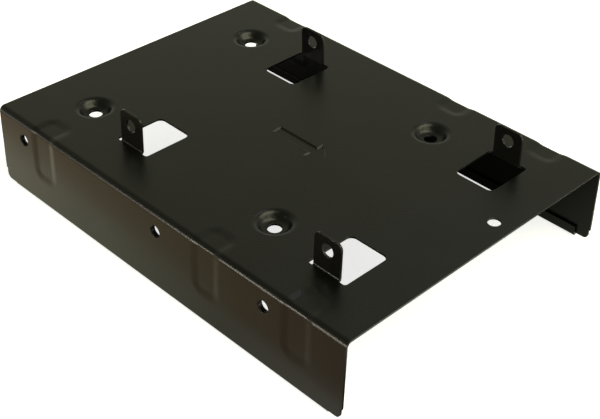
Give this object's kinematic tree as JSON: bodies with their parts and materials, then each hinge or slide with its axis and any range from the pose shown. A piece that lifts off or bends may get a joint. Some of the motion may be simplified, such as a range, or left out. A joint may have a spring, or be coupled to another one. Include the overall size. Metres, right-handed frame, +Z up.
{
  "type": "drive bay adapter bracket",
  "caption": "Folded sheet-steel bracket that fits a 3.5-inch drive bay and holds a 2.5-inch drive above and below its plate.",
  "frame": {"origin": "on the ground under the middle of the bracket, at the foot of the folded hems", "axes": "+X across the bracket towards its right flange, +Y along it towards the far end, away from the arrow's point, +Z up out of the plate"},
  "size_m": [0.103, 0.1412, 0.0356],
  "materials": {
    "coated_steel": "black baked coating, fine texture, satin"
  },
  "bodies": {
    "root": {"bracket": "coated_steel"}
  },
  "joints": []
}
